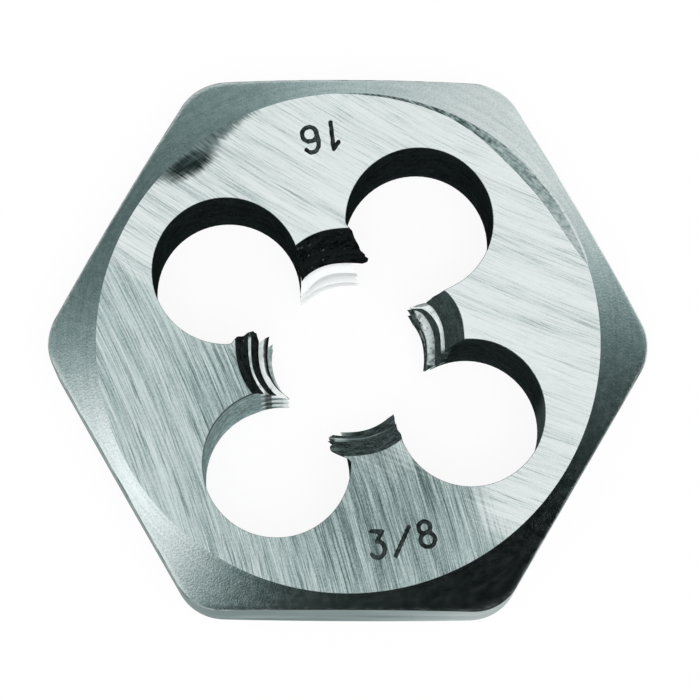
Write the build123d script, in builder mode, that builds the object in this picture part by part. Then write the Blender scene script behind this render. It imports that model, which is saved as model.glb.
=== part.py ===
"""Hexagonal rethreading die, 3/8-16, one hardened steel piece.

Millimetres. The origin is on the thread axis in the plain back face, +Z runs
along the axis to the marked starting face, and +X points to a hex corner.
"""

import os
from math import ceil, cos, radians, tan

from build123d import *

# Blank
across_flats = 25.4
thickness = 7.94
corner_radius = 2.4
face_diameter = 23.9
chamfer_slope = 30.0

# Thread, cut right-handed through the die
thread_major_diameter = 9.525
thread_pitch = 1.5875
thread_flank_angle = 30.0
thread_start_angle = 199.0

# Lead-in cone of the starting face, and the short chamfer of the back face
lead_mouth_diameter = 10.8
lead_half_angle = 21.0
exit_chamfer = 0.5

# Chip holes, which leave one cutting land between each pair
chip_hole_count = 4
chip_hole_diameter = 7.02
chip_hole_circle_diameter = 13.44
chip_hole_start_angle = -30.0

# Blank, worked out
apothem = across_flats / 2
sharp_corner_radius = apothem / cos(radians(30))
face_radius = face_diameter / 2
chamfer_drop = (sharp_corner_radius - face_radius) * tan(radians(chamfer_slope))

# Thread form, worked out from its pitch: the sharp V is cut off by an eighth of
# its height at the root and by a sixth at the crest
flank_slope = tan(radians(thread_flank_angle))
sharp_v_height = thread_pitch / (2 * flank_slope)
thread_depth = sharp_v_height * (1 - 1 / 8 - 1 / 6)
root_flat = thread_pitch / 8
crest_flat = thread_pitch / 6
major_radius = thread_major_diameter / 2
minor_radius = major_radius - thread_depth

# Groove cutter, one land long. It reaches inside the crests by part of their
# width, so that neighbouring turns stay apart
cutter_reach = crest_flat / 2
cutter_inner_radius = minor_radius - cutter_reach
cutter_inner_width = root_flat + 2 * (thread_depth + cutter_reach) * flank_slope
land_angle = 360 / chip_hole_count
land_rise = thread_pitch * land_angle / 360

# The first groove starts a turn or more below the back face, and the last ends
# past the starting face
turns_below = ceil(thickness / thread_pitch) + 1
first_rise = thread_pitch * (chip_hole_start_angle - thread_start_angle) / 360
first_groove_height = thickness + first_rise - turns_below * thread_pitch
groove_count = ceil((thickness + thread_pitch - first_groove_height) / land_rise)

# Lead-in cone and exit chamfer, worked out
lead_mouth_radius = lead_mouth_diameter / 2
lead_depth = (lead_mouth_radius - minor_radius) / tan(radians(lead_half_angle))

with BuildPart() as groove_cutter:
    with BuildLine() as groove_path:
        Helix(pitch=thread_pitch, height=land_rise, radius=major_radius)
    with BuildSketch(Plane.XZ) as groove_section:
        Polygon(
            (major_radius, root_flat / 2),
            (cutter_inner_radius, cutter_inner_width / 2),
            (cutter_inner_radius, -cutter_inner_width / 2),
            (major_radius, -root_flat / 2),
            align=None,
        )
    sweep(path=groove_path.wires()[0], is_frenet=True)

with BuildPart() as hex_die:
    # Hexagonal blank with rounded corners
    with BuildSketch():
        RegularPolygon(apothem, side_count=6, major_radius=False)
        fillet(vertices(), corner_radius)
    extrude(amount=thickness)

    # Both faces are chamfered in turning, which scallops the flats
    with BuildSketch(Plane.XZ) as face_chamfers:
        Polygon(
            (face_radius, thickness),
            (sharp_corner_radius, thickness),
            (sharp_corner_radius, thickness - chamfer_drop),
            align=None,
        )
        Polygon(
            (face_radius, 0),
            (sharp_corner_radius, 0),
            (sharp_corner_radius, chamfer_drop),
            align=None,
        )
    revolve(axis=Axis.Z, mode=Mode.SUBTRACT)

    # Bore at the thread's crests, opened by the lead-in cone above and by the
    # exit chamfer below
    with BuildSketch(Plane.XZ) as bore_section:
        Polygon(
            (0, 0),
            (minor_radius + exit_chamfer, 0),
            (minor_radius, exit_chamfer),
            (minor_radius, thickness - lead_depth),
            (lead_mouth_radius, thickness),
            (0, thickness),
            align=None,
        )
    revolve(axis=Axis.Z, mode=Mode.SUBTRACT)

    # Chip holes break the thread into cutting lands
    with BuildSketch() as chip_holes:
        with PolarLocations(
            chip_hole_circle_diameter / 2, chip_hole_count, start_angle=chip_hole_start_angle
        ):
            Circle(chip_hole_diameter / 2)
    extrude(amount=thickness, mode=Mode.SUBTRACT)

    # Right-handed thread groove, which starts part-way down the lead-in cone:
    # each length crosses one land, a step further up the helix
    groove_places = [
        Location(
            (0, 0, first_groove_height + step * land_rise),
            (0, 0, chip_hole_start_angle + step * land_angle),
        )
        for step in range(groove_count)
    ]
    with Locations(*groove_places):
        add(groove_cutter.part, mode=Mode.SUBTRACT)

hex_die.part.label = "hex_die"

os.makedirs("parts", exist_ok=True)
export_step(hex_die.part, "parts/hex_die.step")
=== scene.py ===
"""Hexagonal rethreading die: one detailed steel piece on a pale floor.

Lengths in this file are millimetres unless a comment says otherwise, and the
mesh is scaled to metres at the end. The origin is on the thread axis in the
back face, +Z leaves the marked starting face, +X points to a hexagon corner.
"""

import math

import bmesh
import bpy
import numpy as np
from mathutils import Matrix, Vector
from mathutils.geometry import delaunay_2d_cdt


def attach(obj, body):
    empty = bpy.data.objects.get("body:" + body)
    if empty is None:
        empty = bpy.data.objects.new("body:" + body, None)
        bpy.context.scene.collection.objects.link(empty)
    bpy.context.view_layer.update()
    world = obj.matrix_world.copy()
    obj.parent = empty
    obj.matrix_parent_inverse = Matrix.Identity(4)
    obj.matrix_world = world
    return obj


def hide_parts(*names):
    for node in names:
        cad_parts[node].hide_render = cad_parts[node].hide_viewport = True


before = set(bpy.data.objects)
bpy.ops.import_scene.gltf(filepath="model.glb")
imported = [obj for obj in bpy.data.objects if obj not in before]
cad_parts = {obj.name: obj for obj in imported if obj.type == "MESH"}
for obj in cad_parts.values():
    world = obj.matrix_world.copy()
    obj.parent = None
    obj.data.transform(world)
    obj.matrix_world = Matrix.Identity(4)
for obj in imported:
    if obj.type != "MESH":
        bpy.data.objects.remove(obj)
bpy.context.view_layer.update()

MM = 0.001

# Blank
APOTHEM = 12.7
THICKNESS = 7.94
CORNER_RADIUS = 2.4
FACE_RADIUS = 11.95
CHAMFER_TAN = math.tan(math.radians(30))

# Blank, worked out: where each corner's round is centred, and half the angle it takes
CORNER_CENTRE = (APOTHEM - CORNER_RADIUS) / math.cos(math.radians(30))
CORNER_END = CORNER_CENTRE + CORNER_RADIUS * math.cos(math.radians(30))
CORNER_HALF_TURN = math.atan2(CORNER_RADIUS / 2, CORNER_END)

# Thread: its groove is cut a little oversize, and its crests a little high
PITCH = 1.5875
MAJOR_RADIUS = 4.81
MINOR_RADIUS = 3.70
FLANK_TAN = math.tan(math.radians(30))
ROOT_HALF = PITCH / 16
LEAST_CREST = 0.04
START_ANGLE = 199.0

# Lead-in: a cone, and a flatter one from partway down that eases into the crests
MOUTH_RADIUS = 5.4
MOUTH_TAN = math.tan(math.radians(21))
EASING_DEPTH = 2.4
EASING_TAN = math.tan(math.radians(17.5))
EASING_RADIUS = MOUTH_RADIUS - EASING_DEPTH * (MOUTH_TAN - EASING_TAN)
EXIT_CHAMFER = 0.5

# Relief: each land's crests stand further in towards its anticlockwise end, which cuts,
# and the lead-in is a little off the axis
RELIEF_RISES = (0.05, 0.05, 0.0, 0.05)
RELIEF_START = -5.0
RELIEF_CURVES = (0.00088, 0.00055, 0.00050, 0.00055)
OFF_CENTRE = 0.05

# Crest radius at height 0, its growth with height, and its share of the relief: bore,
# lead-in cones, exit cone. The wall follows the largest of them
CREST_LINES = (
    (MINOR_RADIUS, 0.0, 0.4),
    (MOUTH_RADIUS - THICKNESS * MOUTH_TAN, MOUTH_TAN, 1.0),
    (EASING_RADIUS - THICKNESS * EASING_TAN, EASING_TAN, 1.0),
    (MINOR_RADIUS + EXIT_CHAMFER, -1.0, 0.4),
)

# Chip holes
HOLE_COUNT = 4
HOLE_RADIUS = 3.51
HOLE_CIRCLE = 6.72
HOLE_START = -30.0
SECTOR = 360 / HOLE_COUNT

# Bevels: at the holes' rims, and along the sides, where it is worn unevenly. The middle
# of a side's bevel stands in and up by these shares of its width
RIM_BEVEL = 0.022
EDGE_BEVEL = 0.05
EDGE_WEAR = 0.35
BEVEL_IN = 0.3
BEVEL_UP = 0.25

# Strip beside the face circle that the grinding missed: its width by direction, how deep
# it lies, the width from which it is that deep, and the run of the step down to it
RUN_OUT_ANGLES = (18, 20, 22.5, 26, 31, 37, 43, 50, 58, 66, 76, 86, 93)
RUN_OUT_WIDTHS = (0, 0.13, 0.27, 0.40, 0.50, 0.54, 0.56, 0.50, 0.30, 0.14, 0.09, 0.06, 0)
RUN_OUT_DROP = 0.05
RUN_OUT_FULL = 0.15
RUN_OUT_STEP = 0.02

# Burrs that cutting has smeared off the lands, by land and side (-1 is clockwise):
# depths below the starting face, and the reach into the chip hole at each of them.
# A negative reach is a blunted end
BURRS = {
    (0, -1): (
        (0, 1.5, 2.3, 2.6, 2.9, 3.2, 3.5, 3.7, 4.1, 4.5, 4.8, 5.2),
        (0, 0.05, 0.15, 0.42, 0.56, 0.58, 0.44, 0.20, 0.20, 0.38, 0.30, 0),
    ),
    (0, 1): (
        (0, 1.2, 1.8, 2.4, 3.0, 3.12, 3.4, 3.7, 4.2, 4.5, 4.7, 4.9, 5.3, 5.8, 6.1, 6.3, 8),
        (-0.03, -0.04, -0.16, -0.28, -0.36, -0.44, 0, 0.2, 0.2, -0.15, -0.3, -0.1, 0.2, 0.2,
         -0.2, -0.42, -0.36),
    ),
    (1, -1): (
        (0, 0.2, 1.1, 1.9, 2.6, 2.95, 3.1, 3.35, 3.5, 3.9),
        (0.12, 0.28, 0.41, 0.54, 0.78, 0.84, 0.68, 0.34, 0.10, 0),
    ),
    (1, 1): ((0, 1.5, 2.2, 3.0, 8), (0, 0, -0.06, -0.10, -0.12)),
    (2, -1): (
        (0, 0.2, 0.7, 1.1, 1.35, 1.7, 2.1, 2.4, 2.6, 2.75, 3.0, 3.4, 3.8, 4.2, 4.6, 5.2),
        (0.2, 0.34, 0.38, 0.46, 0.60, 0.67, 0.66, 0.6, 0.46, 0.24, 0.1, 0.15, 0.32, 0.32,
         0.2, 0),
    ),
    (2, 1): ((0, 1.8, 2.6, 3.4, 8), (0, 0, -0.04, -0.10, -0.08)),
    (3, -1): (
        (0, 0.3, 0.6, 1.0, 1.4, 1.8, 2.1, 2.5, 2.8, 3.1, 3.4, 3.8, 4.1, 4.5, 4.9, 5.3, 8),
        (0.35, 0.64, 0.86, 0.94, 0.92, 0.76, 0.60, 0.78, 0.88, 0.82, 0.62, 0.42, 0.28, 0.10,
         -0.15, -0.28, -0.28),
    ),
    (3, 1): (
        (0, 0.5, 1.0, 1.5, 2.4, 2.8, 3.2, 3.6, 8),
        (0, 0.07, 0.06, 0, 0, 0.05, -0.05, -0.18, -0.20),
    ),
}

# How far a burr pulls the land and the hole's wall along, how far down into the groove
# it fades out, and how ragged it is
BURR_ON_LAND = 0.17
BURR_ON_HOLE = 0.13
BURR_IN_GROOVE = 1.2
BURR_RAGGED = 0.05
HOLE_WALL_LENGTH = 13.2

# Stamped numerals
STROKE_HALF = 0.105
STROKE_RAGGED = (0.010, 0.006)
MARK_DEPTH = 0.06
MARK_SLOPE = 0.03
MARK_STEP = 0.045
MARK_REACH = 0.95

# Rows of one turn of the thread, as finish and count: flank, root, flank and crest
TURN_PARTS = (("thread_flank", 4), ("land_crest", 2), ("thread_flank", 4), ("land_crest", 5))
TURN_KINDS = [kind for kind, count in TURN_PARTS for _ in range(count)]
TURNS = np.arange(-6, 2)

# Other mesh steps, and the passes in which the lands' ends settle on the chip holes
LAND_COLUMNS = 40
HOLE_COLUMNS = 64
OUTER_STEP = 0.75
OUTER_ROWS = 8
SETTLING_PASSES = 8

# Columns of a chip hole's wall as shares of its length, closer together at both ends
HOLE_ENDS = np.array([0, 0.005, 0.010, 0.015, 0.021])
HOLE_MIDDLE = np.linspace(0.028, 0.972, HOLE_COLUMNS + 1 - 2 * len(HOLE_ENDS))
HOLE_SHARES = np.concatenate([HOLE_ENDS, HOLE_MIDDLE, 1 - HOLE_ENDS[::-1]])

# Points this close are merged, shorter edges go, and sharper edges stay unsmoothed
MERGE_DISTANCE = 0.0012
LEAST_EDGE = 0.0008
SHARP_ANGLE = 24


# Collecting points and polygons


class Skin:
    """Points and polygons of one mesh, with the name of each polygon's finish."""

    def __init__(self):
        self.points = []
        self.polygons = []
        self.kinds = []

    def grid(self, points, kinds, flip=False):
        """Quads between neighbouring points of an array, in one finish or one for each row."""
        rows, columns = points.shape[:2]
        start = len(self.points)
        self.points.extend(points.reshape(-1, 3).tolist())
        for row in range(rows - 1):
            kind = kinds if isinstance(kinds, str) else kinds[row]
            for column in range(columns - 1):
                a = start + row * columns + column
                quad = (a, a + 1, a + columns + 1, a + columns)
                self.polygons.append(quad[::-1] if flip else quad)
                self.kinds.append(kind)

    def triangles(self, points, triangles, kind, flip=False):
        start = len(self.points)
        self.points.extend(points.tolist())
        for triangle in triangles:
            moved = tuple(start + corner for corner in triangle)
            self.polygons.append(moved[::-1] if flip else moved)
            self.kinds.append(kind)


def closed(points):
    """The array with its first column repeated at the end."""
    return np.concatenate([points, points[:, :1]], axis=1)


def at_height(flat, height):
    """Points in the plane raised to a height."""
    return np.column_stack([flat, np.full(len(flat), height)])


def ring(angles, radius, height):
    """Points round the axis at a radius and a height, which may differ by angle."""
    turn = np.radians(angles)
    x, y = radius * np.cos(turn), radius * np.sin(turn)
    return np.stack([x, y, np.broadcast_to(height, turn.shape)], axis=-1)


def grown(loop, distance):
    """A closed anticlockwise loop moved outwards, with its sharp corners kept short."""
    ahead = np.roll(loop, -1, axis=0) - loop
    ahead /= np.linalg.norm(ahead, axis=1)[:, None]
    normal = np.stack([ahead[:, 1], -ahead[:, 0]], axis=1)
    both = normal + np.roll(normal, 1, axis=0)
    length = np.linalg.norm(both, axis=1)[:, None]
    return loop + both / length * distance * np.minimum(2 / length, 2.0)


# Bore, lands and chip holes


def land_half_angle(radius):
    """Half the angle that a land takes on a circle of that radius, in degrees."""
    cosine = (radius**2 + HOLE_CIRCLE**2 - HOLE_RADIUS**2) / (2 * radius * HOLE_CIRCLE)
    return SECTOR / 2 - np.degrees(np.arccos(cosine))


def relief(land, angle, turn):
    """How far crests stand out from their circle, at a turn from their land's middle."""
    rise = RELIEF_RISES[land] + OFF_CENTRE * np.cos(np.radians(angle))
    return rise - RELIEF_CURVES[land] * np.maximum(turn - RELIEF_START, 0) ** 2


def bore_radius(height, moved):
    """Radius of the crests at a height, with their relief."""
    return np.maximum.reduce(
        [base + slope * height + share * moved for base, slope, share in CREST_LINES]
    )


def groove_radius(offset):
    """Radius of the thread groove at a height above or below its middle."""
    return MAJOR_RADIUS - np.maximum(np.abs(offset) - ROOT_HALF, 0) / FLANK_TAN


def groove_height(angle, turn):
    """Height of the middle of one turn of the right-handed groove."""
    return THICKNESS + PITCH * ((angle - START_ANGLE) / 360 + turn)


def wall_radius(angle, height, moved):
    """Radius of the threaded wall."""
    turns = (height - groove_height(angle, 0)) / PITCH
    groove = groove_radius((turns - np.round(turns)) * PITCH)
    return np.maximum(bore_radius(height, moved), groove)


def flank_end(middle, side, moved):
    """How far above (side 1) or below (side -1) a groove's middle its flank meets the crests."""
    reach = MAJOR_RADIUS + ROOT_HALF / FLANK_TAN
    ends = [
        (reach - base - share * moved - slope * middle) / (1 / FLANK_TAN + side * slope)
        for base, slope, share in CREST_LINES
    ]
    return np.minimum(np.minimum.reduce(ends), (PITCH - LEAST_CREST) / 2)


def turn_rows(middle, moved):
    """Heights of one turn's rows above its groove's middle: flank, root, flank and crest."""
    lower = -np.maximum(flank_end(middle, -1, moved), ROOT_HALF)
    above = flank_end(middle, 1, moved)
    run_out = THICKNESS - (MOUTH_RADIUS + moved - MAJOR_RADIUS) / MOUTH_TAN - middle
    root_end = np.where(above >= ROOT_HALF, ROOT_HALF, np.clip(run_out, -ROOT_HALF, ROOT_HALF))
    upper = np.where(above >= ROOT_HALF, above, root_end)
    following = PITCH - np.maximum(flank_end(middle + PITCH, -1, moved), ROOT_HALF)
    bends = (lower, -ROOT_HALF + 0 * middle, root_end, upper, following)
    rows = []
    for start, end, (_, steps) in zip(bends[:-1], bends[1:], TURN_PARTS):
        rows += [start + (end - start) * step / steps for step in range(steps)]
    return np.stack(rows)


def land_wall(land, centre):
    """Angle, radius and height of each row and column of one land."""
    shares = np.linspace(-1, 1, LAND_COLUMNS + 1)
    own = np.arange(len(TURN_KINDS))
    radius = np.full((len(TURNS), len(own), len(shares)), MINOR_RADIUS)
    for _ in range(SETTLING_PASSES):
        turn = shares * land_half_angle(radius)
        angle = centre + turn
        moved = relief(land, angle, turn)
        middle = groove_height(angle, TURNS[:, None, None])
        offset = turn_rows(middle, moved)[own, :, own].transpose(1, 0, 2)
        height = np.clip(middle + offset, RIM_BEVEL, THICKNESS - RIM_BEVEL)
        radius = wall_radius(angle, height, moved)
    for _ in range(SETTLING_PASSES):
        turn = shares * land_half_angle(radius)
        angle = centre + turn
        radius = wall_radius(angle, height, relief(land, angle, turn))
    return np.stack([angle, radius, height], axis=-1).reshape(-1, len(shares), 3)


def hole_wall(first, last, centre):
    """Chip hole wall from one land's edge points round the far side to the next land's."""
    angle = math.radians(centre)
    middle = HOLE_CIRCLE * np.array([math.cos(angle), math.sin(angle)])

    def turn_of(points):
        away = points[:, :2] - middle
        return np.degrees(np.arctan2(away[:, 1], away[:, 0])) - centre

    # the middle of the far side is at a turn of 0, so the first edge's turn is negative
    start = turn_of(first) % -360
    end = turn_of(last) % 360
    turn = np.radians(start[:, None] + (end - start)[:, None] * HOLE_SHARES + centre)
    x = middle[0] + HOLE_RADIUS * np.cos(turn)
    y = middle[1] + HOLE_RADIUS * np.sin(turn)
    z = first[:, None, 2] + (last[:, 2] - first[:, 2])[:, None] * HOLE_SHARES
    return np.stack([x, y, z], axis=-1)


def burrs_of(land, centre, polar):
    """How far each point of a land moves along its circle, and how far its two edges do."""
    moved = np.zeros(polar.shape[:2])
    edges = {}
    for side in (-1, 1):
        angle, radius, height = np.moveaxis(polar[:, 0 if side < 0 else -1], -1, 0)
        reach = np.interp(THICKNESS - height, *BURRS[land, side])
        reach *= 1 + BURR_RAGGED * np.sin(19 * height + 2 * land)
        crest = bore_radius(height, relief(land, angle, angle - centre))
        reach *= np.clip(1 - (radius - crest) / BURR_IN_GROOVE, 0, 1)
        away = np.radians(polar[..., 0] - angle[:, None]) * polar[..., 1]
        width = (BURR_ON_LAND + np.maximum(-reach, 0))[:, None]
        moved += side * reach[:, None] * np.exp(-((away / width) ** 2))
        edges[side] = side * reach
    return moved, edges


def along_circle(points, distance):
    """Steps of a length along the circles round the axis, anticlockwise."""
    turn = np.arctan2(points[..., 1], points[..., 0])
    return np.stack([-np.sin(turn), np.cos(turn), 0 * turn], axis=-1) * distance[..., None]


def after_turn(values):
    """The first land's rows as the last land meets them, one turn further on."""
    rows = len(TURN_KINDS)
    return np.concatenate([values[rows:], values[-1:].repeat(rows, axis=0)])


def add_inner_wall(skin):
    """Adds the threaded lands and the chip holes, and returns their rims at both faces."""
    centres = [HOLE_START + SECTOR * (land + 0.5) for land in range(HOLE_COUNT)]
    walls = [land_wall(land, centre) for land, centre in enumerate(centres)]
    burrs = [burrs_of(land, centre, walls[land]) for land, centre in enumerate(centres)]
    lands = [ring(*np.moveaxis(polar, -1, 0)) for polar in walls]
    bottom, top = [], []
    for land, points in enumerate(lands):
        moved, edges = burrs[land]
        after = (land + 1) % HOLE_COUNT
        follower, reach = lands[after][:, 0], burrs[after][1][-1]
        if after == 0:
            follower, reach = after_turn(follower), after_turn(reach)
        hole = hole_wall(points[:, -1], follower, centres[land] + SECTOR / 2)
        for edge, length, shares, outward in (
            (points[:, -1], edges[1], HOLE_SHARES, 1),
            (follower, reach, 1 - HOLE_SHARES, -1),
        ):
            width = (BURR_ON_HOLE + np.maximum(-outward * length, 0))[:, None]
            fade = np.exp(-((shares * HOLE_WALL_LENGTH / width) ** 2))
            hole += along_circle(edge, length)[:, None, :] * fade[..., None]
        points = points + along_circle(points, moved)
        skin.grid(points, TURN_KINDS * len(TURNS), flip=True)
        skin.grid(hole, "chip_hole", flip=True)
        bottom += [points[0, :-1], hole[0, :-1]]
        top += [points[-1, :-1], hole[-1, :-1]]
    return np.concatenate(bottom), np.concatenate(top)


# Size marks


def arc(x, y, radius, start, end, squash=1.0):
    """Points along part of an ellipse."""
    turn = np.radians(np.linspace(start, end, 25))
    return np.stack([x + radius * np.cos(turn), y + radius * squash * np.sin(turn)], axis=1)


# Centre lines of the plain numerals, one unit high, about their own middle
NUMERALS = {
    "1": [np.array([(0.02, 0.5), (0.0, -0.5)]), np.array([(0.02, 0.5), (-0.2, 0.26)])],
    "3": [
        np.array([(-0.22, 0.47), (0.14, 0.45), (-0.04, 0.12)]),
        arc(-0.03, -0.155, 0.24, 93, -145, 1.15),
    ],
    "6": [arc(0.0, -0.22, 0.27, 0, 360), arc(0.03, 0.0, 0.30, 205, 42, 1.55)],
    "8": [arc(0.0, 0.25, 0.22, 0, 360), arc(0.0, -0.23, 0.27, 0, 360)],
    "/": [np.array([(0.35, 0.43), (-0.35, -0.43)])],
}

# Numeral, middle of it in x and y, turn in degrees, height
SIZE_MARKS = (
    ("3", 1.45, -9.66, 3.0, 1.4),
    ("/", 2.57, -9.49, 15.5, 1.35),
    ("8", 3.70, -9.12, 15.5, 1.27),
    ("1", -0.80, 9.9, 188.0, 1.3),
    ("6", -1.82, 9.68, 195.5, 1.3),
)


def stroke_field(lines, x, y):
    """Distance from each point of a grid to the nearest centre line."""
    nearest = np.full(x.shape, np.inf)
    for line in lines:
        for (ax, ay), (bx, by) in zip(line[:-1], line[1:]):
            dx, dy = bx - ax, by - ay
            share = np.clip(((x - ax) * dx + (y - ay) * dy) / (dx * dx + dy * dy), 0, 1)
            nearest = np.minimum(nearest, np.hypot(x - ax - share * dx, y - ay - share * dy))
    return nearest


def contour_loops(field, xs, ys):
    """Closed loops on which a field over a grid is zero, with the negative side on their left."""
    step_of = {}
    places = {}

    def spot(i, j, across):
        key = (i, j, across)
        if key not in places:
            a = field[j, i]
            b = field[j, i + 1] if across else field[j + 1, i]
            share = a / (a - b)
            x = xs[i] + (xs[1] - xs[0]) * share * across
            y = ys[j] + (ys[1] - ys[0]) * share * (not across)
            places[key] = (x, y)
        return key

    for j in range(len(ys) - 1):
        for i in range(len(xs) - 1):
            corners = ((j, i), (j, i + 1), (j + 1, i + 1), (j + 1, i))
            inside = [field[corner] < 0 for corner in corners]
            if all(inside) or not any(inside):
                continue
            sides = ((i, j, True), (i + 1, j, False), (i, j + 1, True), (i, j, False))
            leaving = [n for n in range(4) if inside[n] and not inside[(n + 1) % 4]]
            entering = [n for n in range(4) if not inside[n] and inside[(n + 1) % 4]]
            for out in leaving:
                back = min(entering, key=lambda n: (out - n) % 4 if len(entering) > 1 else 0)
                step_of[spot(*sides[out])] = spot(*sides[back])
    loops = []
    while step_of:
        first, follow = step_of.popitem()
        loop = [places[first]]
        while follow != first:
            loop.append(places[follow])
            follow = step_of.pop(follow)
        loops.append(np.array(loop))
    return loops


def evened(loop, step):
    """A closed loop with points an even step apart."""
    round_trip = np.concatenate([loop, loop[:1]])
    runs = np.linalg.norm(np.diff(round_trip, axis=0), axis=1)
    along = np.concatenate([[0], np.cumsum(runs)])
    wanted = np.linspace(0, along[-1], max(int(along[-1] / step), 8), endpoint=False)
    return np.stack([np.interp(wanted, along, round_trip[:, axis]) for axis in (0, 1)], axis=1)


def mark_loops():
    """Slightly ragged outlines of all the numerals, in the plane of the face."""
    cells = np.arange(-MARK_REACH, MARK_REACH + 0.001, MARK_STEP)
    x, y = np.meshgrid(cells, cells)
    found = []
    for number, (name, mark_x, mark_y, turn, height) in enumerate(SIZE_MARKS):
        lines = [line * height for line in NUMERALS[name]]
        long_waves = np.sin(17 * x + 5 * number) * np.sin(13 * y + 3 * number)
        short_waves = np.sin(31 * x + 11 * y + number)
        ragged = STROKE_RAGGED[0] * long_waves + STROKE_RAGGED[1] * short_waves
        field = stroke_field(lines, x, y) - STROKE_HALF + ragged
        angle = math.radians(turn)
        spin = np.array([(math.cos(angle), math.sin(angle)), (-math.sin(angle), math.cos(angle))])
        for loop in contour_loops(field, cells, cells):
            found.append(evened(loop, MARK_STEP) @ spin + (mark_x, mark_y))
    return found


def inside_loops(points, loops):
    """Whether each point is inside an odd number of loops."""
    odd = np.zeros(len(points), bool)
    px, py = points[:, 0], points[:, 1]
    for loop in loops:
        for (ax, ay), (bx, by) in zip(loop, np.roll(loop, -1, axis=0)):
            if ay != by:
                spans = (ay > py) != (by > py)
                odd ^= spans & (px < (bx - ax) * (py - ay) / (by - ay) + ax)
    return odd


def fill(outer, holes):
    """Points and anticlockwise triangles of the plane between an outer loop and holes."""
    loops = [outer] + list(holes)
    edges, start = [], 0
    for loop in loops:
        count = len(loop)
        edges += [(start + n, start + (n + 1) % count) for n in range(count)]
        start += count
    points = [Vector(point) for point in np.concatenate(loops).tolist()]
    spots, _, faces, _, _, _ = delaunay_2d_cdt(points, edges, [], 0, 1e-6)
    spots = np.array([tuple(spot) for spot in spots])
    faces = np.array([tuple(face) for face in faces])
    kept = inside_loops(spots[faces].mean(axis=1), loops)
    return spots, faces[kept].tolist()


def area(loop):
    """Area inside a closed loop."""
    x, y = loop.T
    return 0.5 * abs(np.sum(x * np.roll(y, -1) - np.roll(x, -1) * y))


def nested(loops):
    """Groups loops as an outer one followed by the ones inside it."""
    groups = []
    for number in np.argsort([area(loop) for loop in loops])[::-1]:
        for group in groups:
            if inside_loops(loops[number][:1], [group[0]])[0]:
                group.append(loops[number])
                break
        else:
            groups.append([loops[number]])
    return groups


# Outside and faces


def run_out_width(angle):
    """Width of the missed strip at an angle in degrees."""
    return np.interp(angle % 360, RUN_OUT_ANGLES, RUN_OUT_WIDTHS, left=0, right=0)


def outer_angles():
    """Angles of the outside's columns, with the ends of each rounded corner among them."""
    angles = set(np.round(np.arange(0, 360, OUTER_STEP), 6).tolist())
    for corner in range(0, 360, 60):
        for side in (-1, 1):
            angles.add(round((corner + side * math.degrees(CORNER_HALF_TURN)) % 360, 6))
    return np.array(sorted(angles))


def outline_radius(angle):
    """Radius of the rounded hexagon at an angle in degrees."""
    from_corner = np.radians((angle + 30) % 60 - 30)
    flat = APOTHEM / np.cos(np.radians(angle % 60 - 30))
    across = np.minimum(np.abs(CORNER_CENTRE * np.sin(from_corner)), CORNER_RADIUS)
    corner = CORNER_CENTRE * np.cos(from_corner) + np.sqrt(CORNER_RADIUS**2 - across**2)
    return np.where(np.abs(from_corner) <= CORNER_HALF_TURN + 1e-9, corner, flat)


def add_outside(skin, angles):
    """Adds the chamfer cones and the six sides, and returns the rings they leave open."""
    outline = outline_radius(angles)
    wear = EDGE_WEAR * np.sin(np.radians(angles * 7)) * np.sin(np.radians(angles * 19))
    bevel = EDGE_BEVEL * (1 + wear)
    sunk = RUN_OUT_DROP * np.clip(run_out_width(angles) / RUN_OUT_FULL, 0, 1)
    shares = np.linspace(0, 1, OUTER_ROWS + 1)

    def drop(radius):
        return (radius - FACE_RADIUS) * CHAMFER_TAN

    def cone(start):
        return [start + (outline - bevel - start) * share for share in shares]

    back = [ring(angles, radius, drop(radius)) for radius in cone(FACE_RADIUS)]
    front = [
        ring(angles, radius, THICKNESS - drop(radius))
        for radius in cone(FACE_RADIUS + sunk / CHAMFER_TAN)
    ]
    low = drop(outline) + bevel
    high = THICKNESS - low
    bevel_middle, bevel_rise = outline - BEVEL_IN * bevel, drop(outline) + BEVEL_UP * bevel
    rings = back + [ring(angles, bevel_middle, bevel_rise)]
    rings += [ring(angles, outline, low + (high - low) * share) for share in shares]
    rings += [ring(angles, bevel_middle, THICKNESS - bevel_rise)] + front[::-1]
    chamfer, bevels = ["turned_chamfer"] * OUTER_ROWS, ["rim_edge"] * 2
    kinds = chamfer + bevels + ["hex_side"] * OUTER_ROWS + bevels + chamfer
    skin.grid(closed(np.stack(rings)), kinds)
    return rings[0], rings[-1]


def add_starting_face(skin, rim, angles, top_ring):
    """Adds the marked face, the missed strip beside it, and the numerals."""
    grown_rim = grown(rim[:, :2], RIM_BEVEL)
    bevel = np.stack([rim, at_height(grown_rim, THICKNESS)])
    skin.grid(closed(bevel), "rim_edge", flip=True)

    width = run_out_width(angles)
    edge = ring(angles, FACE_RADIUS - width, THICKNESS)
    foot = ring(angles, FACE_RADIUS - width + RUN_OUT_STEP * (width > 0), top_ring[:, 2])
    skin.grid(closed(np.stack([top_ring, foot])), "face_run_out")
    skin.grid(closed(np.stack([foot, edge])), "rim_edge")

    marks = mark_loops()
    points, triangles = fill(edge[:, :2], [grown_rim] + marks)
    skin.triangles(at_height(points, THICKNESS), triangles, "ground_face")
    floors = [grown(loop, -MARK_SLOPE) for loop in marks]
    for loop, floor in zip(marks, floors):
        sides = np.stack([at_height(floor, THICKNESS - MARK_DEPTH), at_height(loop, THICKNESS)])
        skin.grid(closed(sides), "size_mark", flip=True)
    for loops in nested(floors):
        points, triangles = fill(loops[0], loops[1:])
        skin.triangles(at_height(points, THICKNESS - MARK_DEPTH), triangles, "size_mark")


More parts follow.
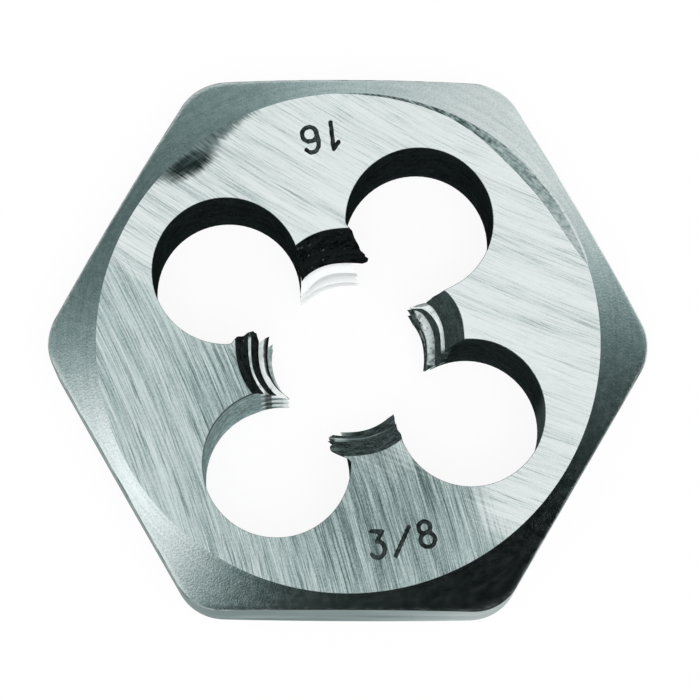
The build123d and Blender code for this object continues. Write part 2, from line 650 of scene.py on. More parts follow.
def add_back_face(skin, rim, low_ring):
    """Adds the plain back face with its bevelled inner rim."""
    grown_rim = grown(rim[:, :2], RIM_BEVEL)
    bevel = np.stack([at_height(grown_rim, 0.0), rim])
    skin.grid(closed(bevel), "rim_edge", flip=True)
    points, triangles = fill(low_ring[:, :2], [grown_rim])
    skin.triangles(at_height(points, 0.0), triangles, "ground_face", flip=True)


def placed(name, data):
    """A new object in the scene."""
    piece = bpy.data.objects.new(name, data)
    bpy.context.scene.collection.objects.link(piece)
    return piece


def mesh_object(name, points, polygons, materials):
    """A new object in the scene, with a mesh of its own."""
    mesh = bpy.data.meshes.new(name)
    mesh.from_pydata(points, [], polygons)
    for material in materials:
        mesh.materials.append(material)
    return placed(name, mesh)


def build_die():
    """The whole die as one closed mesh in metres."""
    skin = Skin()
    angles = outer_angles()
    bottom_rim, top_rim = add_inner_wall(skin)
    low_ring, top_ring = add_outside(skin, angles)
    add_starting_face(skin, top_rim, angles, top_ring)
    add_back_face(skin, bottom_rim, low_ring)

    points = (np.array(skin.points) * MM).tolist()
    finishes = [finish() for finish in FINISHES]
    die = mesh_object("die_body", points, skin.polygons, finishes)
    mesh = die.data
    number_of = {finish.__name__: number for number, finish in enumerate(FINISHES)}
    mesh.polygons.foreach_set("material_index", [number_of[kind] for kind in skin.kinds])
    merged = bmesh.new()
    merged.from_mesh(mesh)
    bmesh.ops.remove_doubles(merged, verts=merged.verts, dist=MERGE_DISTANCE * MM)
    bmesh.ops.dissolve_degenerate(merged, edges=merged.edges, dist=LEAST_EDGE * MM)
    merged.to_mesh(mesh)
    merged.free()
    mesh.shade_smooth()
    mesh.set_sharp_from_angle(angle=math.radians(SHARP_ANGLE))
    return die


# Node trees


def grey(level, tint):
    """A steel grey, with its red lowered by the tint."""
    return (level * (1 - tint), level, level * (1 - 0.06 * tint))


class Value:
    """A node's output, which can be added, subtracted, multiplied and divided."""

    def __init__(self, nodes, socket):
        self.nodes = nodes
        self.socket = socket

    def __add__(self, other):
        return self.nodes.math("ADD", self, other)

    def __sub__(self, other):
        return self.nodes.math("SUBTRACT", self, other)

    def __rsub__(self, other):
        return self.nodes.math("SUBTRACT", other, self)

    def __mul__(self, other):
        return self.nodes.math("MULTIPLY", self, other)

    def __truediv__(self, other):
        return self.nodes.math("DIVIDE", self, other)


class Nodes:
    """A node tree, with short calls for the nodes that this file uses."""

    def __init__(self, tree):
        self.tree = tree

    def add(self, kind, **settings):
        """A new node with some settings."""
        node = self.tree.nodes.new(kind)
        for name, value in settings.items():
            setattr(node, name, value)
        return node

    def feed(self, socket, value):
        """Links a socket to a node's output, or writes a plain value on it."""
        if isinstance(value, Value):
            value = value.socket
        if isinstance(value, bpy.types.NodeSocket):
            self.tree.links.new(value, socket)
        elif value is not None:
            socket.default_value = value

    def result(self, node, sockets, values, output=0):
        """One output of a node, once some of its sockets have been fed."""
        for socket, value in zip(sockets, values):
            self.feed(node.inputs[socket], value)
        return Value(self, node.outputs[output])

    def math(self, operation, *values):
        return self.result(self.add("ShaderNodeMath", operation=operation), (0, 1), values)

    def most(self, first, *others):
        """The largest of several values."""
        for other in others:
            first = self.math("MAXIMUM", first, other)
        return first

    def vector(self, operation, *values, output=0):
        node = self.add("ShaderNodeVectorMath", operation=operation)
        return self.result(node, (0, 1), values, output)

    def joined(self, x, y, z):
        return self.result(self.add("ShaderNodeCombineXYZ"), (0, 1, 2), (x, y, z))

    def spread(self, value, low, high, to_low, to_high):
        """Value moved smoothly from one range to another, held at the ends."""
        node = self.add("ShaderNodeMapRange", clamp=True, interpolation_type="SMOOTHSTEP")
        return self.result(node, range(5), (value, low, high, to_low, to_high))

    def rise(self, value, low, high):
        """0 up to the low end, and 1 from the high end."""
        return self.spread(value, low, high, 0.0, 1.0)

    def fall(self, value, low, high):
        """1 up to the low end, and 0 from the high end."""
        return self.spread(value, low, high, 1.0, 0.0)

    def mix(self, share, a, b):
        """Colour part of the way from a to b."""
        node = self.add("ShaderNodeMix", data_type="RGBA")
        a, b = ((*colour, 1) if isinstance(colour, tuple) else colour for colour in (a, b))
        return self.result(node, (0, 6, 7), (share, a, b), 2)

    def mix_value(self, share, a, b):
        """Number part of the way from a to b."""
        return self.result(self.add("ShaderNodeMix", data_type="FLOAT"), (0, 2, 3), (share, a, b))

    def greys(self, value, *stops):
        """Steel grey by a value. Each stop is the value, the level and the tint."""
        node = self.add("ShaderNodeValToRGB")
        points = node.color_ramp.elements
        while len(points) < len(stops):
            points.new(0.5)
        for point, (at, level, tint) in zip(points, stops):
            point.position = at
            point.color = (*grey(level, tint), 1)
        return self.result(node, [0], [value])

    def noise(self, place, scale=1.0, detail=2.0, rough=0.5):
        node = self.add("ShaderNodeTexNoise")
        sockets = ("Vector", "Scale", "Detail", "Roughness")
        return self.result(node, sockets, (place, scale, detail, rough), "Fac")

    def bump(self, height, depth, under=None):
        """Normal of a surface whose height of 0 to 1 stands for a depth in millimetres."""
        sockets = ("Height", "Distance", "Normal")
        return self.result(self.add("ShaderNodeBump"), sockets, (height, depth * MM, under))


class Finish(Nodes):
    """The nodes of a new steel finish, with the places and patterns that finishes share."""

    def __init__(self, name):
        self.material = bpy.data.materials.new(name)
        self.material.use_nodes = True
        super().__init__(self.material.node_tree)
        where = self.add("ShaderNodeTexCoord").outputs["Object"]
        self.place = self.vector("MULTIPLY", where, (1 / MM, 1 / MM, 1 / MM))
        self.flat = self.vector("MULTIPLY", self.place, (1, 1, 0))
        self.x, self.y, self.z = map(self.along, ((1, 0, 0), (0, 1, 0), (0, 0, 1)))
        self.depth = THICKNESS - self.z
        self.radius = self.vector("LENGTH", self.flat, output="Value")
        self.direction = self.math("DEGREES", self.math("ARCTAN2", self.y, self.x))
        self.wobble = self.noise(self.place, 0.9, 1)

    def finished(self, **values):
        """The material, with its shader's inputs fed. Their names have _ for each space."""
        shader = self.tree.nodes["Principled BSDF"]
        for name, value in values.items():
            self.feed(shader.inputs[name.replace("_", " ")], value)
        return self.material

    def along(self, line, place=None):
        """How far a place lies from the origin along a line of length 1."""
        return self.vector("DOT_PRODUCT", place or self.place, line, output="Value")

    def distance(self, place):
        """Distance from a fixed place."""
        return self.vector("DISTANCE", self.place, place, output="Value")

    def on_land(self, direction):
        """1 on the land that stands in a direction from the axis, and 0 on the others."""
        turn = math.radians(direction)
        return self.rise(self.along((math.cos(turn), math.sin(turn), 0)), 2.2, 2.9)

    def streaks(self, direction, bow, length, width, seed, detail=2.0, rough=0.5):
        """Noise drawn out along arcs of radius bow, whose middle runs in a direction."""
        turn = math.radians(direction)
        along = self.along((math.cos(turn), math.sin(turn), 0))
        across = self.distance((-math.sin(turn) * bow, math.cos(turn) * bow, 0))
        across += self.wobble * STREAK_WOBBLE
        return self.noise(self.joined(along / length, across / width, seed), 1.0, detail, rough)

    def turned_strokes(self, length, width):
        """Noise drawn out along the circles round the axis."""
        share = FACE_RADIUS / length
        along = self.vector("MULTIPLY", self.vector("NORMALIZE", self.flat), (share, share, share))
        across = self.joined(0.0, 0.0, self.radius / width)
        return self.noise(self.vector("ADD", along, across), 1.0, 3, 0.6)


# How far the streaks wander off their arcs
STREAK_WOBBLE = 0.06

# Places on the die that have a look of their own: the sooty spot on the corner that the
# grinding wheel missed, with its long direction and half its length and width, the bared
# spot on the upper right chip hole's wall, and the rubbed lump on the lower land's burr
SOOT_PLACE = (-7.60, 8.42, THICKNESS)
SOOT_LINE = (math.cos(math.radians(30)), math.sin(math.radians(30)), 0)
SOOT_HALF = (1.30, 0.50)
BARED_PLACE = (3.35, 2.55, 5.2)
LUMP_PLACE = (-0.66, -5.03, 6.74)

# Places round which the second set of grinding lines is painted darker, a painted shade
LOW_PAINTED_SHADE_SPOT = (1.6, -7.6, THICKNESS)
BORE_PAINTED_SHADE_SPOT = (-1.5, -1.0, THICKNESS)

# Directions of the lands from the axis
RIGHT_LAND, UPPER_LAND, LEFT_LAND, LOWER_LAND = 15, 105, 195, 285


# Finishes


def ground_face():
    """Two sets of long grinding lines that meet, the second with darker greys as a painted shade,
    and the corner that the wheel missed.
    """
    n = Finish("ground_face")

    # the first set crosses the top and right, the steeper one the left and bottom
    fine_a = n.streaks(-27, 90, 2.2, 0.055, 1, 2, 0.6)
    line_a = n.streaks(-27, 90, 4.5, 0.14, 2)
    band_a = n.streaks(-26, 90, 12.0, 0.70, 3, 1)
    fine_b = n.streaks(-68, -90, 2.8, 0.048, 4, 2, 0.6)
    line_b = n.streaks(-67, -90, 6.0, 0.12, 5)
    band_b = n.streaks(-66, -60, 9.0, 0.60, 6, 1)
    grain = n.noise(n.place, 11.0, 2, 0.6)

    # which set shows: the second below the line from the left corner to the lower right
    across = n.along((0.535, 0.845, 0)) + n.spread(n.x, -11.0, -6.0, -0.9, 0.0)
    wander = n.noise(n.place, 0.22, 1) * 5.0 + line_a * 2.2 + fine_b * 1.6
    second = n.fall(across + wander, 0.1, 2.5)

    # painted shade: the second set darker round a spot near the bottom and one by the bore
    deep = n.fall(n.distance(BORE_PAINTED_SHADE_SPOT), 4.5, 8.0) * 0.7
    deep = n.most(n.fall(n.distance(LOW_PAINTED_SHADE_SPOT), 1.5, 8.0), deep)
    soiled = n.fall(n.distance(SOOT_PLACE), 0.8, 5.5)
    tone_a = fine_a * 0.50 + line_a * 0.22 + band_a * 0.18 + grain * 0.10 - soiled * 0.045
    tone_b = fine_b * 0.46 + line_b * 0.24 + band_b * 0.16 + grain * 0.14 - deep * 0.086
    # painted shade: the second set's greys run darker than the first's, standing for the weaker
    # reflection of lines that run the other way
    bright = n.greys(
        tone_a, (0.37, 0.50, 0.16), (0.44, 0.80, 0.09), (0.51, 0.95, 0.06), (0.60, 1.00, 0.04)
    )
    dull = n.greys(
        tone_b,
        (0.325, 0.12, 0.30),
        (0.395, 0.33, 0.26),
        (0.465, 0.62, 0.18),
        (0.545, 0.86, 0.11),
        (0.645, 0.96, 0.07),
    )
    colour = n.mix(second, bright, dull)

    # single deep scratches of both sets
    cut_a = n.rise(n.streaks(-24, 90, 3.0, 0.075, 11, 1), 0.66, 0.72)
    cut_b = n.rise(n.streaks(-70, -60, 2.6, 0.085, 12, 1), 0.63, 0.69)
    cut = n.mix_value(second, cut_a, cut_b) * n.mix_value(second, 0.35, 0.6)
    colour = missed_corner(n, grain, n.mix(cut, colour, grey(0.20, 0.25)))

    rough_a = n.spread(fine_a, 0.3, 0.7, 0.36, 0.50)
    rough_b = n.spread(fine_b, 0.3, 0.7, 0.40, 0.56)
    return n.finished(
        Base_Color=colour,
        Metallic=1.0,
        Roughness=n.mix_value(second, rough_a, rough_b),
        Normal=n.bump(n.mix_value(second, tone_a, tone_b), 0.006),
    )


def missed_corner(n, grain, colour):
    """The face's colour with its missed corner: turned grey, streaked where the wheel just
    reached, and sooty in one place. The back face has none."""
    front = n.rise(n.z, 3.0, 5.0)
    smear = n.streaks(-29, 90, 1.6, 0.075, 8)
    width_up = n.spread(n.direction, 109.0, 127.0, 0.10, 0.80)
    width_down = n.spread(n.direction, 130.0, 144.5, 0.80, -0.10)
    left_over = n.math("MINIMUM", width_up, width_down) - (FACE_RADIUS - n.radius)
    missed = left_over / 0.34 + smear * 3.4 + grain * 0.4 - 1.9
    ends = n.math("MINIMUM", n.rise(n.direction, 109.0, 114.0), n.fall(n.direction, 140.0, 144.0))
    turned_grey = n.mix(n.rise(smear, 0.3, 0.7), grey(0.12, 0.28), grey(0.32, 0.24))
    colour = n.mix(n.rise(missed, -0.3, 0.9) * ends * front, colour, turned_grey)

    from_soot = n.vector("SUBTRACT", n.place, SOOT_PLACE)
    along = n.along(SOOT_LINE, from_soot) / SOOT_HALF[0]
    away = n.along((-SOOT_LINE[1], SOOT_LINE[0], 0), from_soot) / SOOT_HALF[1]
    drawn = n.streaks(33, 90, 0.9, 0.22, 9, 3, 0.6)
    core = along * along + away * away + smear * 2.2 + drawn * 0.5 - 1.45
    soot = n.mix(n.rise(drawn, 0.38, 0.66), grey(0.026, 0.38), grey(0.070, 0.36))
    return n.mix(n.fall(core, 0.0, 1.7) * front, colour, soot)


def turned_chamfer():
    """Matte turned steel with a fine grain and faint rings."""
    n = Finish("turned_chamfer")
    grain = n.noise(n.place, 9.5, 2, 0.6)
    coarse = n.noise(n.place, 2.6)
    rings = n.noise(n.joined(n.radius / 0.13, 0.0, 3.0))
    tone = grain * 0.40 + coarse * 0.16 + rings * 0.08 + n.turned_strokes(3.0, 0.16) * 0.36
    return n.finished(
        Base_Color=n.greys(tone, (0.34, 0.46, 0.14), (0.50, 0.60, 0.11), (0.66, 0.70, 0.09)),
        Metallic=1.0,
        Roughness=n.spread(coarse, 0.3, 0.7, 0.19, 0.26),
        Normal=n.bump(rings, 0.0015, n.bump(grain, 0.009)),
    )


def hex_side():
    """Milled sides with streaks that run round the die, grainy corners, and a painted reflection:
    a glint tint weaker on the left and stronger on the right.
    """
    n = Finish("hex_side")
    fine = n.noise(n.vector("MULTIPLY", n.place, (0.20, 0.20, 5.0)), 1.0, 3, 0.6)
    bands = n.noise(n.vector("MULTIPLY", n.place, (0.09, 0.09, 0.7)))
    cloud = n.noise(n.place, 0.5)
    grain = n.noise(n.place, 9.0, 2, 0.6)
    streaked = fine * 0.40 + bands * 0.36 + cloud * 0.12 + grain * 0.12
    grainy = grain * 0.9 + cloud * 0.1
    corner = n.fall(n.math("PINGPONG", n.direction, 30.0), 2.0, 9.0) * n.fall(n.x, -4.0, -1.0)
    tone = n.mix_value(corner * 0.7, streaked, grainy)
    # painted reflection: the specular tint is set lower on the left and higher on the right,
    # setting how brightly each part reflects
    left_glint = n.greys(tone, (0.36, 0.22, 0.32), (0.50, 0.34, 0.29), (0.64, 0.47, 0.25))
    right_glint = n.mix(n.rise(tone, 0.4, 0.6), grey(0.66, 0.14), grey(0.98, 0.06))
    return n.finished(
        Base_Color=n.greys(tone, (0.36, 0.36, 0.12), (0.50, 0.48, 0.10), (0.64, 0.60, 0.08)),
        Specular_Tint=n.mix(n.rise(n.x, 0.5, 7.0), left_glint, right_glint),
        Metallic=1.0,
        Roughness=n.spread(fine, 0.3, 0.7, 0.34, 0.5),
        Normal=n.bump(fine, 0.006, n.bump(grain, 0.006)),
    )


def teeth_shade(n):
    """1 in the band of painted shade across the teeth at the left land's lower end."""
    return n.rise(n.x, -4.08, -3.88) * n.fall(n.x, -3.70, -3.60) * n.fall(n.y, -1.9, -1.7)


def chip_hole():
    """Near-black heat scale, worn bright in the lower left hole."""
    n = Finish("chip_hole")
    cloud = n.noise(n.place, 1.5, 3, 0.6)
    grain = n.noise(n.vector("MULTIPLY", n.place, (1, 1, 0.45)), 7.0, 3, 0.65)
    tone = cloud * 0.5 + grain * 0.5
    share = n.rise(tone, 0.36, 0.66)
    scale = n.mix(share, grey(0.015, 0.3), grey(0.036, 0.3))
    lower_right = n.rise(n.x, 1.0, 2.0) * n.fall(n.y, 0.8, 1.6)
    scale = n.mix(lower_right, scale, n.mix(share, grey(0.026, 0.3), grey(0.054, 0.3)))
    fleck = n.rise(n.noise(n.place, 4.2, 2, 0.6), 0.69, 0.74)
    scale = n.mix(fleck * 0.25, scale, grey(0.30, 0.2))
    rubbed = n.rise(n.x, 8.4, 9.1) * n.fall(n.y, -3.2, -2.2)
    scale = n.mix(rubbed, scale, n.mix(tone, grey(0.08, 0.25), grey(0.22, 0.25)))
    bared = n.fall(n.distance(BARED_PLACE), 0.8, 1.4)
    scale = n.mix(bared, scale, n.mix(tone, grey(0.45, 0.15), grey(0.85, 0.08)))

    # the lower left hole: worn but for a ragged line at its edge and two shaded places
    worn = n.greys(tone, (0.36, 0.23, 0.30), (0.50, 0.55, 0.26), (0.64, 0.90, 0.20))
    worn = n.mix(n.fall(n.depth - tone, -0.35, 0.15) * 0.85, worn, grey(0.02, 0.3))
    tooth_ends = n.rise(n.x, -3.7, -3.6) * n.fall(n.y, -1.9, -1.7)
    worn = n.mix(tooth_ends * 0.35, worn, grey(0.10, 0.3))
    worn = n.mix(teeth_shade(n) * 0.8, worn, grey(0.05, 0.3))
    own_hole = n.fall(n.x, -1.6, -0.9) * n.fall(n.y, -2.2, -1.7)
    return n.finished(
        Base_Color=n.mix(own_hole, scale, worn),
        Roughness=n.spread(grain, 0.3, 0.7, 0.60, 0.75),
        Specular_IOR_Level=0.0,
        Normal=n.bump(grain, 0.010),
    )


def land_crest():
    """Black scale on the lead-in cone and first crests, painted darker on the upper and left lands
    as a painted shade, and bright cut steel below.
    """
    n = Finish("land_crest")
    upper, left = n.on_land(UPPER_LAND), n.on_land(LEFT_LAND)
    cloud = n.noise(n.place, 2.0, 3, 0.6)
    grain = n.noise(n.place, 8.0, 3, 0.65)
    tone = n.rise(cloud * 0.5 + grain * 0.5, 0.36, 0.64)
    # painted shade: the scale's greys differ by land, darkest on the upper land, nearly as dark on
    # the left, lighter on the right and lower ones
    thin = n.mix(tone, grey(0.028, 0.30), grey(0.165, 0.28))
    scale_painted_right = n.mix(tone, grey(0.046, 0.30), grey(0.100, 0.28))
    thin = n.mix(n.on_land(RIGHT_LAND), thin, scale_painted_right)
    thin = n.mix(n.fall(n.distance(LUMP_PLACE), 0.12, 0.50) * 0.8, thin, grey(0.26, 0.28))
    scale_painted_darker = n.mix(tone, grey(0.003, 0.25), grey(0.022, 0.25))
    scale_painted_darker = n.mix(left, scale_painted_darker, n.mix(tone, grey(0.006, 0.25), grey(0.036, 0.25)))
    colour = n.mix(n.most(upper, left), thin, scale_painted_darker)
    fleck = n.rise(n.noise(n.place, 3.4, 2, 0.6), 0.66, 0.72)
    colour = n.mix(fleck * 0.35, colour, grey(0.30, 0.15))

    # below this depth the crests of the upper and the left land are bare
    limit = n.mix_value(upper, n.mix_value(left, 9.0, 4.45), 3.45)
    bare = n.mix(upper, n.mix(grain, grey(0.70, 0.10), grey(0.97, 0.05)), grey(0.99, 0.02))
    return n.finished(
        Base_Color=n.mix(n.rise(n.depth - limit, -0.05, 0.15), colour, bare),
        Roughness=n.spread(grain, 0.3, 0.7, 0.40, 0.60),
        Specular_IOR_Level=0.0,
        Normal=n.bump(grain, 0.010),
    )


def thread_flank():
    """Bright cut steel with tool lines along the thread, greyer or under scale in places, with
    painted shade on the left land's teeth and painted light at the lower land's left end.
    """
    n = Finish("thread_flank")
    rings = n.noise(n.joined(n.radius / 0.045, 0.0, 1.0))
    cloud = n.noise(n.place, 2.4, 3, 0.65)
    blotch = n.noise(n.place, 4.5, 3, 0.6)
    tone = rings * 0.3 + cloud * 0.7
    colour = n.greys(
        tone, (0.34, 0.55, 0.16), (0.42, 0.82, 0.09), (0.52, 0.96, 0.05), (0.70, 0.99, 0.03)
    )
    upper_land = n.on_land(UPPER_LAND)
    colour = n.mix(upper_land, colour, grey(0.99, 0.02))
    colour = n.mix(flank_greying_and_painted_light(n, blotch), colour, grey(0.34, 0.26))

    # scale covers the first turns of the upper land and parts of the others; the same dark greys
    # also give painted shade on the left land's teeth and third turn, and darken the right land's
    # inner edge
    first = upper_land * n.fall(n.depth, 2.7, 3.1)
    right, burr_end = right_flank_scale(n, cloud, blotch)
    scale = n.most(first, lower_flank_scale(n), left_flank_scale_and_shade(n, cloud), right)
    scale_and_shade_grey = n.mix(n.rise(tone, 0.38, 0.62), grey(0.004, 0.28), grey(0.10, 0.26))
    scale_and_shade_grey = n.mix(burr_end, scale_and_shade_grey, grey(0.03, 0.3))
    scale_and_shade_grey = n.mix(first, scale_and_shade_grey, grey(0.010, 0.2))
    return n.finished(
        Base_Color=n.mix(scale, colour, scale_and_shade_grey),
        Roughness=n.spread(cloud, 0.3, 0.7, 0.34, 0.50),
        Specular_IOR_Level=0.1,
        Normal=n.bump(rings, 0.003),
    )


def flank_greying_and_painted_light(n, blotch):
    """Greyer towards the left land's upper end, the right one's lower end, and all along the lower
    one but for its left end, which painted light keeps lighter."""
    inner_turn = n.rise(n.depth, 4.5, 4.7) * n.rise(n.y, -2.1, -0.9)
    thin_line = n.rise(n.y, -1.9, -0.9) * n.fall(n.depth, 2.4, 2.7)
    left = n.most(n.rise(n.y, -1.5, 0.3) * 0.40, inner_turn, thin_line * 0.75)
    left = left * n.on_land(LEFT_LAND)
    right = n.spread(n.direction, -8.0, 24.0, 0.85, 0.15) * n.on_land(RIGHT_LAND)
    # painted light: the lower land's left end is kept less grey, to make up for the shade of its
    # tilted flank
    lower = n.spread(n.x, -0.35, 0.1, 0.55, 1.0) * n.on_land(LOWER_LAND)
    return n.most(n.most(left, right) * n.spread(blotch, 0.36, 0.60, 0.45, 1.0), lower)


def lower_flank_scale(n):
    """Scale on all but the left end of the lower land, apart from one thin line."""
    covered = n.most(
        n.spread(n.x, -0.35, 0.3, 0.10, 0.93), n.spread(n.x, -0.66, -0.54, 0.97, 0.0)
    )
    line = n.rise(n.radius, 4.22, 4.27) * n.fall(n.radius, 4.31, 4.36)
    line = line * n.spread(n.x, 1.2, 2.0, 0.5, 0.15)
    return n.on_land(LOWER_LAND) * covered * (1.0 - line)


def left_flank_scale_and_shade(n, cloud):
    """Scale on the left land's upper tip, painted shade across its teeth, and scale with
    painted shade on its third turn, where it tapers off upwards."""
    tip = n.rise(n.y, 0.36, 0.50) * n.fall(n.depth, 2.2, 2.5)
    third = n.rise(n.depth, 3.0, 3.3) * n.fall(n.depth, 4.4, 4.6) * n.rise(n.y, -2.3, -1.9)
    tapered = n.most(n.radius, n.radius - n.y * 0.35 - 0.35) + cloud * 0.1
    third = third * n.fall(tapered, 4.08, 4.14) * 0.9
    return n.most(tip, teeth_shade(n) * 0.8, third) * n.on_land(LEFT_LAND)


def right_flank_scale(n, cloud, blotch):
    """A darker band along the right land's inner edge, scale at both its ends, and that on its
    burr.
    """
    inner_edge = n.fall(n.radius + cloud * 0.30, 3.95, 4.05)
    mottled = n.rise(cloud, 0.46, 0.58) * n.rise(n.depth, 3.4, 3.7) * 0.7
    border = n.most(inner_edge, n.rise(n.direction, 32.5, 34.5), mottled)
    border = border * n.rise(n.depth, 3.3, 3.6)
    stub = n.fall(n.direction, -1.5, 0.5) * n.fall(n.depth, 3.1, 3.4) * 0.9
    burr_end = n.fall(n.direction, -7.6, -6.2) * n.spread(blotch, 0.40, 0.64, 1.0, 0.80)
    outer_end = n.fall(n.direction, -2.6, -1.2) * n.rise(n.radius, 4.22, 4.34)
    burr_end = n.most(burr_end, outer_end)
    land = n.on_land(RIGHT_LAND)
    return n.most(border, stub, burr_end) * land, burr_end * land


def rim_edge():
    """Narrow bevels, rubbed brighter here and there, with a painted highlight on those of the
    upper right side and painted shade on the lower front edge.
    """
    n = Finish("rim_edge")
    worn = n.noise(n.place, 1.1, 3, 0.6)
    colour = n.mix(n.rise(worn, 0.38, 0.62), grey(0.22, 0.20), grey(0.46, 0.12))
    # painted highlight on the bevels of the upper right side
    lit = n.rise(n.along((0.87, 0.5, 0)), 11.5, 12.3)
    colour = n.mix(lit, colour, grey(0.90, 0.06))
    # painted shade on the lower front edge, from a little left of the middle rightwards
    low_front_painted_shade = n.fall(n.y, -12.0, -10.8) * n.rise(n.z, 4.0, 5.0) * n.rise(n.x, -6.0, -2.0)
    return n.finished(
        Base_Color=n.mix(low_front_painted_shade, colour, grey(0.03, 0.25)),
        Metallic=1.0,
        Roughness=n.spread(worn, 0.3, 0.7, 0.48, 0.30),
        Normal=n.bump(n.noise(n.place, 10.0, 2, 0.6), 0.005),
    )


def size_mark():
    """Dark stamped recess with a scuffed floor."""
    n = Finish("size_mark")
    cloud = n.noise(n.place, 5.0, 3, 0.6)
    return n.finished(
        Base_Color=n.mix(n.rise(cloud, 0.35, 0.7), grey(0.008, 0.3), grey(0.060, 0.25)),
        Roughness=n.spread(cloud, 0.3, 0.7, 0.5, 0.75),
        Specular_IOR_Level=0.05,
        Normal=n.bump(cloud, 0.02),
    )


def face_run_out():
    """Turned step beside the ground face, blotched and darker towards its upper end."""
    n = Finish("face_run_out")
    cloud = n.noise(n.place, 4.2, 3, 0.65)
    tone = n.streaks(-36, 90, 0.7, 0.085, 21) * 0.52 + cloud * 0.48
    upper = n.rise(n.direction, 48.0, 72.0)
    lower = n.fall(n.direction, 22.0, 44.0)
    tone = (tone - 0.5) * (upper * 0.8 + 1.0) - upper * 0.13 + lower * 0.10 + 0.5
    colour = n.greys(
        tone, (0.30, 0.08, 0.30), (0.42, 0.24, 0.26), (0.52, 0.42, 0.20), (0.64, 0.62, 0.12)
    )
    edge = n.rise(n.radius, 11.93, 11.97) * n.fall(n.direction, 34.0, 60.0)
    return n.finished(
        Base_Color=n.mix(edge * n.rise(cloud, 0.3, 0.5), colour, grey(0.85, 0.08)),
        Metallic=1.0,
        Roughness=0.42,
        Normal=n.bump(tone, 0.012),
    )


FINISHES = (
    ground_face,
    turned_chamfer,
    hex_side,
    chip_hole,
    land_crest,
    thread_flank,
    rim_edge,
    size_mark,
    face_run_out,
)


# Camera, lights and floor, in metres

# Camera: focal length in pixels of the frame, angle from the axis, direction and roll in
# degrees, distance, and the place on the face that it looks at
FRAME_PIXELS = 700
SENSOR_WIDTH = 36
FOCAL_PIXELS = 4506.6
CAMERA_TILT = 7.760
CAMERA_TURN = -93.283
CAMERA_ROLL = 0.221
CAMERA_DISTANCE = 213.35 * MM
CAMERA_TARGET = (0.081 * MM, -0.407 * MM, THICKNESS * MM)

# Floor and world: half the floor's side, its grey, how much of it is plain white where it
# is seen, and the level at which the world lights
FLOOR_HALF = 3.0
FLOOR_GREY = 0.9
FLOOR_WHITE = 0.91
WORLD_LEVEL = 0.55

# Soft lamp over the die
LAMP_PLACE = (0.03, -0.14, 0.85)
LAMP_SIZE = 0.4
LAMP_POWER = 5.2

# Studio wall: a band round the die between two angles from the axis, in rings, and its
# brightness by direction. Its dark parts are tinted
WALL_RADIUS = 0.6
WALL_LEANS = (84, 28)
WALL_RINGS = 9
WALL_STEP = 3
WALL_LEVELS = (
    (0, 0.11), (12, 0.26), (24, 0.64), (36, 1.00), (50, 1.18), (64, 1.05), (78, 0.88),
    (92, 0.76), (104, 0.43), (120, 0.30), (136, 0.20), (150, 0.20), (166, 0.28), (178, 0.60),
    (186, 1.05), (195, 1.45), (205, 1.60), (215, 1.48), (226, 1.08), (235, 0.42), (243, 0.19),
    (252, 0.05), (265, 0.03), (300, 0.007), (328, 0.010), (345, 0.04), (360, 0.11),
)
DARK_CARD = (0.70, 1.0, 0.98)
WHITENING = 1.7


def add_camera():
    """Camera at the photo's viewing angle."""
    tilt, turn = math.radians(CAMERA_TILT), math.radians(CAMERA_TURN)
    flat = math.sin(tilt)
    away = Vector((flat * math.cos(turn), flat * math.sin(turn), math.cos(tilt)))
    roll = math.radians(CAMERA_ROLL + 90)
    side = (-away).cross(Vector((math.cos(roll), math.sin(roll), 0))).normalized()
    data = bpy.data.cameras.new("photo_camera")
    data.sensor_width = SENSOR_WIDTH
    data.lens = SENSOR_WIDTH * FOCAL_PIXELS / FRAME_PIXELS
    data.clip_start = 0.01
    data.clip_end = 10
    camera = placed("photo_camera", data)
    axes = Matrix((side, side.cross(-away), away)).transposed().to_4x4()
    camera.matrix_world = Matrix.Translation(Vector(CAMERA_TARGET) + away * CAMERA_DISTANCE) @ axes
    bpy.context.scene.camera = camera


def seen_directly(nodes):
    """1 for camera, glossy and transmission rays, and 0 for the rest."""
    rays = nodes.add("ShaderNodeLightPath").outputs
    return nodes.most(rays["Is Camera Ray"], rays["Is Glossy Ray"], rays["Is Transmission Ray"])


def show(nodes, share, first, second, output):
    """Links an output node to a mix of two shader nodes."""
    values = (share, first.outputs[0], second.outputs[0])
    choice = nodes.result(nodes.add("ShaderNodeMixShader"), (0, 1, 2), values)
    nodes.feed(nodes.tree.nodes[output].inputs["Surface"], choice)


def add_world():
    """White where it is seen, and a softer level where it lights."""
    world = bpy.data.worlds.new("studio")
    bpy.context.scene.world = world
    world.use_nodes = True
    nodes = Nodes(world.node_tree)
    lit, seen = world.node_tree.nodes["Background"], nodes.add("ShaderNodeBackground")
    for background, strength in ((lit, WORLD_LEVEL), (seen, 1.0)):
        background.inputs["Color"].default_value = (1, 1, 1, 1)
        background.inputs["Strength"].default_value = strength
    show(nodes, seen_directly(nodes), lit, seen, "World Output")


def bare_material(name):
    """A new material with nothing but its output node, and its nodes."""
    material = bpy.data.materials.new(name)
    material.use_nodes = True
    nodes = Nodes(material.node_tree)
    nodes.tree.nodes.remove(nodes.tree.nodes["Principled BSDF"])
    return material, nodes


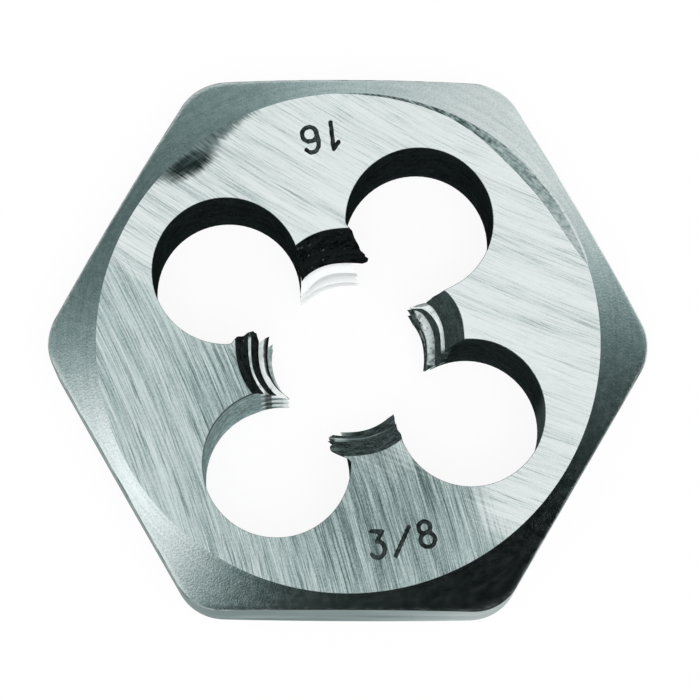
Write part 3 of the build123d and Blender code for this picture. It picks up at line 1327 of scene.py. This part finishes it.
def add_floor():
    """Pale floor: white where it is seen, with part of the object's shadow kept."""
    material, nodes = bare_material("pale_floor")
    matte = nodes.add("ShaderNodeBsdfDiffuse")
    matte.inputs["Color"].default_value = (FLOOR_GREY, FLOOR_GREY, FLOOR_GREY, 1)
    white = nodes.add("ShaderNodeEmission")
    white.inputs["Strength"].default_value = 1.0
    show(nodes, seen_directly(nodes) * FLOOR_WHITE, matte, white, "Material Output")
    half = FLOOR_HALF
    corners = [(-half, -half, 0), (half, -half, 0), (half, half, 0), (-half, half, 0)]
    floor = mesh_object("floor", corners, [(0, 1, 2, 3)], [material])


def add_studio_wall():
    """Cards and soft boxes round the object as one band, seen only in its reflections."""
    material, nodes = bare_material("studio_wall")
    level = nodes.add("ShaderNodeAttribute", attribute_name="level").outputs["Fac"]
    tint = nodes.mix(nodes.math("POWER", level, WHITENING), DARK_CARD, (1, 1, 1))
    glow = nodes.result(nodes.add("ShaderNodeEmission"), ("Color", "Strength"), (tint, level))
    nodes.feed(nodes.tree.nodes["Material Output"].inputs["Surface"], glow)

    turns = np.arange(0, 360, WALL_STEP)
    rings = []
    for lean in np.radians(np.linspace(*WALL_LEANS, WALL_RINGS)):
        rings.append(ring(turns, WALL_RADIUS * math.sin(lean), WALL_RADIUS * math.cos(lean)))
    band = Skin()
    band.grid(closed(np.stack(rings)), "studio_wall")
    wall = mesh_object("studio_wall", band.points, band.polygons, [material])
    levels = np.interp(turns, *zip(*WALL_LEVELS))
    every = np.tile(np.append(levels, levels[0]), len(rings))
    wall.data.attributes.new("level", "FLOAT", "POINT").data.foreach_set("value", every)
    wall.visible_camera = False
    wall.visible_diffuse = False
    wall.visible_transmission = False
    wall.visible_shadow = False


def add_lamp():
    """Square soft lamp that points at the die."""
    data = bpy.data.lights.new("soft_top", "AREA")
    data.size = LAMP_SIZE
    data.energy = LAMP_POWER
    lamp = placed("soft_top", data)
    lamp.location = LAMP_PLACE
    lamp.rotation_euler = (-Vector(LAMP_PLACE)).to_track_quat("-Z", "Y").to_euler()
    lamp.visible_glossy = False


add_camera()
add_world()
add_floor()
add_studio_wall()
add_lamp()
bpy.context.scene.view_settings.view_transform = "Standard"

die_body = build_die()
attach(die_body, "root")
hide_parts("hex_die")
